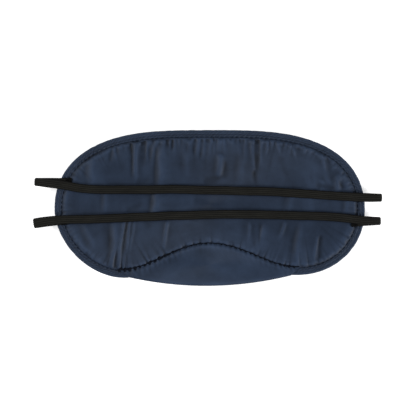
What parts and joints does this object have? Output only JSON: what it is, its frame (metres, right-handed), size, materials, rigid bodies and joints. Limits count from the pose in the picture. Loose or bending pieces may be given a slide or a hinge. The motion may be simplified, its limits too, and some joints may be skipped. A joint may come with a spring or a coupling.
{
  "type": "sleep eye mask",
  "caption": "Padded satin sleep mask with a gathered lining, bound edge, nose flap and elastic head straps sewn on with folded ends.",
  "frame": {"origin": "on the plane under the front cover, at the middle of the panel; the mask lies face down on it", "axes": "+X across the mask to the right as seen from the wearer's side, +Y towards the forehead, +Z out of the wearer's side"},
  "size_m": [0.2298, 0.1025, 0.0068],
  "materials": {
    "satin_front": "navy satin",
    "satin_lining": "navy satin, gathered",
    "satin_flap": "navy satin",
    "binding_satin": "navy satin tape",
    "foam": "soft foam and wadding",
    "liner": "matt black lining",
    "thread_navy": "polyester thread",
    "thread_black": "polyester thread",
    "elastic_black": "ribbed knitted elastic",
    "rubber_thread": "bare rubber thread"
  },
  "bodies": {
    "mask": {"front_cover": "satin_front", "foam_pad": "foam", "blackout_liner": "liner", "back_cover": "satin_lining", "edge_binding": "binding_satin", "binding_stitches": "thread_navy", "flap_front_base": "satin_flap", "flap_wadding_base": "foam", "flap_lining_base": "satin_flap", "flap_stitches": "thread_navy", "upper_strap_left_end": "elastic_black", "upper_strap_right_end": "elastic_black", "lower_strap_left_end": "elastic_black", "lower_strap_right_end": "elastic_black", "strap_bartacks": "thread_black"},
    "nose_flap": {"flap_front_leaf": "satin_flap", "flap_wadding_leaf": "foam", "flap_lining_leaf": "satin_flap"},
    "upper_strap": {"upper_strap_sheath": "elastic_black", "upper_strap_threads": "rubber_thread"},
    "lower_strap": {"lower_strap_sheath": "elastic_black", "lower_strap_threads": "rubber_thread"}
  },
  "joints": [
    {"name": "nose_flap_fold", "type": "hinge", "parent": "mask", "child": "nose_flap", "pos_m": [0, -0.046, 0.00532], "axis": [-1, 0, 0], "range_deg": [0, 150]},
    {"name": "upper_strap_pull", "type": "slide", "parent": "mask", "child": "upper_strap", "axis": [0, 0, 1], "range_m": [0, 0.15], "stiffness_N_per_m": 8},
    {"name": "lower_strap_pull", "type": "slide", "parent": "mask", "child": "lower_strap", "axis": [0, 0, 1], "range_m": [0, 0.15], "stiffness_N_per_m": 8}
  ]
}
